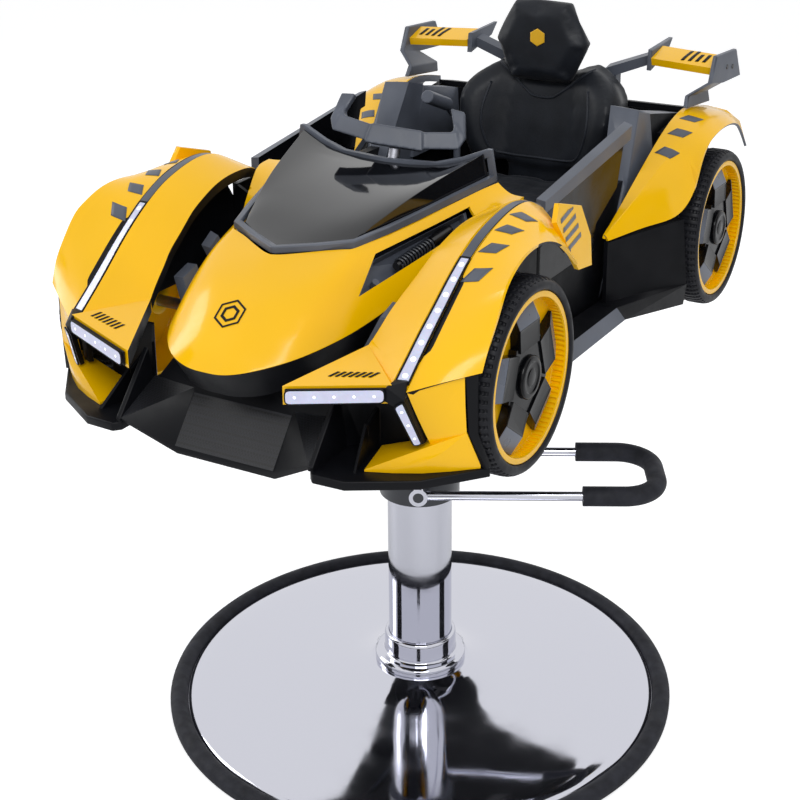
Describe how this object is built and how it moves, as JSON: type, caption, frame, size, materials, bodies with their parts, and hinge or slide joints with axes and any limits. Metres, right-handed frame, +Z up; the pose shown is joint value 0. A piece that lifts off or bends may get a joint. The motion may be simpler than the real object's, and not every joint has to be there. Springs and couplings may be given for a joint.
{
  "type": "children's barber chair",
  "caption": "Children's barber chair shaped as an open-wheel race car with a bucket seat, yoke, doors and rear wings, on a chromed hydraulic pedestal with a pump lever.",
  "frame": {"origin": "centre of the base's underside, on the floor and on the column's axis", "axes": "+Z up the column, -Y the way the car faces, +X the driver's left"},
  "size_m": [0.7999, 1.1089, 1.042],
  "materials": {
    "chrome": "polished",
    "steel": "satin",
    "rubber": "matt",
    "grey_paint": "satin",
    "black_paint": "satin",
    "spring": "satin",
    "black_plastic": "matt",
    "grey_plastic": "satin",
    "yellow": "gloss",
    "gloss_black": "gloss",
    "lens": "translucent",
    "leather": "satin",
    "tyre": "matt"
  },
  "bodies": {
    "base": {"base_plate": "steel", "base_bolts": "steel", "base_cover": "chrome", "base_trim_ring": "rubber", "pump_cylinder": "steel", "column_tube": "chrome", "column_collar": "chrome"},
    "pump_head": {"pump_head": "grey_paint"},
    "lever": {"pump_lever": "chrome", "lever_grip": "rubber"},
    "car": {"ram": "chrome", "mount_plate": "black_paint", "mount_bolts": "steel", "support_frame": "black_paint", "chassis_floor": "black_plastic", "cockpit_tub": "black_plastic", "dashboard": "black_plastic", "front_axle": "steel", "rear_axle": "steel", "suspension_arms": "black_paint", "arch_liners": "black_plastic", "side_skirts": "black_plastic", "hood": "yellow", "windshield": "gloss_black", "windshield_frame": "grey_plastic", "front_fender_left": "yellow", "front_fender_right": "yellow", "fender_bands": "grey_plastic", "led_housings": "black_plastic", "led_lenses": "lens", "front_bumper": "black_plastic", "splitter": "black_plastic", "side_vents": "grey_plastic", "dampers": "black_paint", "damper_springs": "spring", "rear_fender_left": "yellow", "rear_fender_right": "yellow", "rear_deck": "black_plastic", "wing_blades": "yellow", "wing_plates": "grey_plastic", "seat_cushion": "leather", "seat_back": "leather", "headrest": "leather"},
    "steering": {"steering_shaft": "steel", "steering_yoke": "grey_plastic"},
    "side_lever": {"side_lever": "grey_plastic"},
    "door_left": {"door_left": "gloss_black"},
    "door_right": {"door_right": "gloss_black"},
    "wheel_front_left": {"tyre_front_left": "tyre", "rim_front_left": "yellow", "wheel_cover_front_left": "gloss_black"},
    "wheel_front_right": {"tyre_front_right": "tyre", "rim_front_right": "yellow", "wheel_cover_front_right": "gloss_black"},
    "wheel_rear_left": {"tyre_rear_left": "tyre", "rim_rear_left": "yellow", "wheel_cover_rear_left": "gloss_black"},
    "wheel_rear_right": {"tyre_rear_right": "tyre", "rim_rear_right": "yellow", "wheel_cover_rear_right": "gloss_black"}
  },
  "joints": [
    {"name": "swivel", "type": "hinge", "parent": "base", "child": "pump_head", "pos_m": [0, 0, 0.345], "axis": [0, 0, 1], "continuous": true},
    {"name": "lever_pump", "type": "hinge", "parent": "pump_head", "child": "lever", "pos_m": [0, 0, 0.3729], "axis": [-0.4695, 0.8829, 0], "range_deg": [0, 25], "stiffness_Nm_per_rad": 14, "springref_deg": -20.05},
    {"name": "lift", "type": "slide", "parent": "pump_head", "child": "car", "axis": [0, 0, 1], "range_m": [-0.15, 0]},
    {"name": "steer", "type": "hinge", "parent": "car", "child": "steering", "pos_m": [0, -0.061, 0.917], "axis": [0, 0.342, 0.9397], "range_deg": [-55, 15]},
    {"name": "side_lever_tilt", "type": "hinge", "parent": "car", "child": "side_lever", "pos_m": [-0.13, 0.362, 0.75], "axis": [1, 0, 0], "range_deg": [-3, 18]},
    {"name": "door_left_swing", "type": "hinge", "parent": "car", "child": "door_left", "pos_m": [0.2285, -0.0815, 0.773], "axis": [0, 0, 1], "range_deg": [-40, 0]},
    {"name": "door_right_swing", "type": "hinge", "parent": "car", "child": "door_right", "pos_m": [-0.2285, -0.0815, 0.773], "axis": [0, 0, 1], "range_deg": [0, 40]},
    {"name": "wheel_front_left_spin", "type": "hinge", "parent": "car", "child": "wheel_front_left", "pos_m": [0.286, -0.29, 0.705], "axis": [1, 0, 0], "continuous": true},
    {"name": "wheel_front_right_spin", "type": "hinge", "parent": "car", "child": "wheel_front_right", "pos_m": [-0.286, -0.29, 0.705], "axis": [1, 0, 0], "continuous": true},
    {"name": "wheel_rear_left_spin", "type": "hinge", "parent": "car", "child": "wheel_rear_left", "pos_m": [0.286, 0.41, 0.705], "axis": [1, 0, 0], "continuous": true},
    {"name": "wheel_rear_right_spin", "type": "hinge", "parent": "car", "child": "wheel_rear_right", "pos_m": [-0.286, 0.41, 0.705], "axis": [1, 0, 0], "continuous": true}
  ]
}
